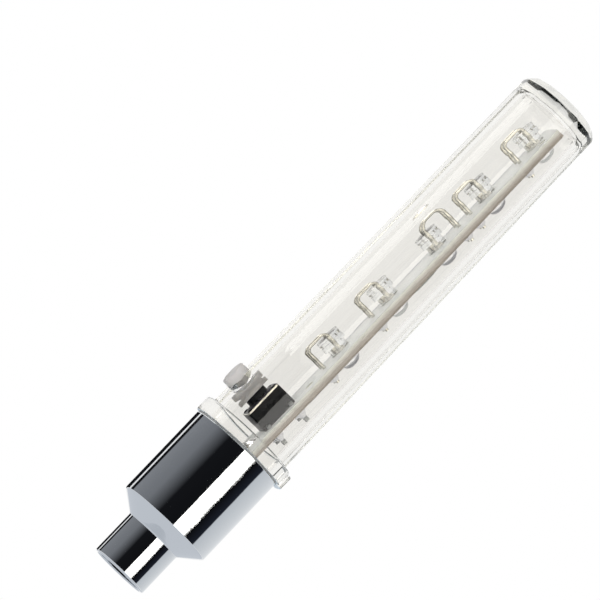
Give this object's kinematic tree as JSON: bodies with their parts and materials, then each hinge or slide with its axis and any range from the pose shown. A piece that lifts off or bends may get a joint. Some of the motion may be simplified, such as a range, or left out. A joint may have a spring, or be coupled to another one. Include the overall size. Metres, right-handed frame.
{
  "type": "valve cap light",
  "caption": "Clear faceted tube light with a push button, screwed into a stepped chrome cap that fits a tyre valve.",
  "frame": {"origin": "centre of the cap's mouth, where the tyre valve goes in", "axes": "+Z along the cap and tube, away from the valve; +X towards the board's solder side; -X towards the push button"},
  "size_m": [0.0164, 0.0158, 0.0917],
  "materials": {
    "chrome": "polished chrome plating on turned brass",
    "clear_plastic": "clear moulded acrylic, glossy",
    "clear_seal": "translucent silicone washer",
    "milky_plastic": "milky translucent moulded plastic",
    "seal_rubber": "black nitrile rubber",
    "sleeve_plastic": "thin white plastic tube",
    "seat_plastic": "white moulded plastic",
    "spring_steel": "bright spring steel",
    "cell_steel": "nickel plated steel can",
    "contact_metal": "tinned phosphor bronze",
    "board": "glass-epoxy laminate with white solder mask",
    "copper": "copper under white solder mask",
    "chip_resin": "pale grey-green epoxy drop",
    "solder": "bright solder",
    "led_lens": "water-clear epoxy lens",
    "lead_wire": "tinned steel lead frame",
    "switch_black": "black moulded plastic",
    "switch_cover": "black finished steel cover"
  },
  "bodies": {
    "cap": {"cap_body": "chrome", "valve_seal": "seal_rubber", "battery_sleeve": "sleeve_plastic", "battery_spring": "spring_steel"},
    "cells": {"battery_1": "cell_steel", "battery_2": "cell_steel", "battery_3": "cell_steel"},
    "seal": {"seal_ring": "clear_seal"},
    "tube": {"light_tube": "clear_plastic", "board_seat": "seat_plastic", "contact_disc": "contact_metal", "contact_tab": "contact_metal", "side_contact": "contact_metal", "circuit_board": "board", "copper_traces": "copper", "chip_blob": "chip_resin", "solder_joints": "solder", "led_1": "led_lens", "led_2": "led_lens", "led_3": "led_lens", "led_4": "led_lens", "led_5": "led_lens", "led_1_leads": "lead_wire", "led_2_leads": "lead_wire", "led_3_leads": "lead_wire", "led_4_leads": "lead_wire", "led_5_leads": "lead_wire", "switch_base": "switch_black", "switch_cover": "switch_cover", "switch_dome": "spring_steel", "switch_pins": "contact_metal"},
    "plunger": {"switch_plunger": "switch_black"},
    "button": {"button_cap": "milky_plastic"}
  },
  "joints": [
    {"name": "tube_lift", "type": "slide", "parent": "cap", "child": "seal", "axis": [0, 0, 1], "range_m": [0, 0.004]},
    {"name": "tube_turn", "type": "hinge", "parent": "seal", "child": "tube", "pos_m": [0, 0, 0], "axis": [0, 0, 1], "range_deg": [0, 1440]},
    {"name": "cells_rise", "type": "slide", "parent": "cap", "child": "cells", "axis": [0, 0, 1], "range_m": [0, 0.001], "deforming": ["battery_spring"]},
    {"name": "button_press", "type": "slide", "parent": "tube", "child": "button", "axis": [1, 0, 0], "range_m": [0, 0.00025], "stiffness_N_per_m": 1000},
    {"name": "plunger_press", "type": "slide", "parent": "tube", "child": "plunger", "axis": [1, 0, 0], "range_m": [0, 0.00025]}
  ],
  "couplings": [
    {"joint": "tube_turn", "follows": "tube_lift", "rad_per_m": 6283.2},
    {"joint": "cells_rise", "follows": "tube_lift", "ratio": 0.25},
    {"joint": "plunger_press", "follows": "button_press", "ratio": 1}
  ]
}
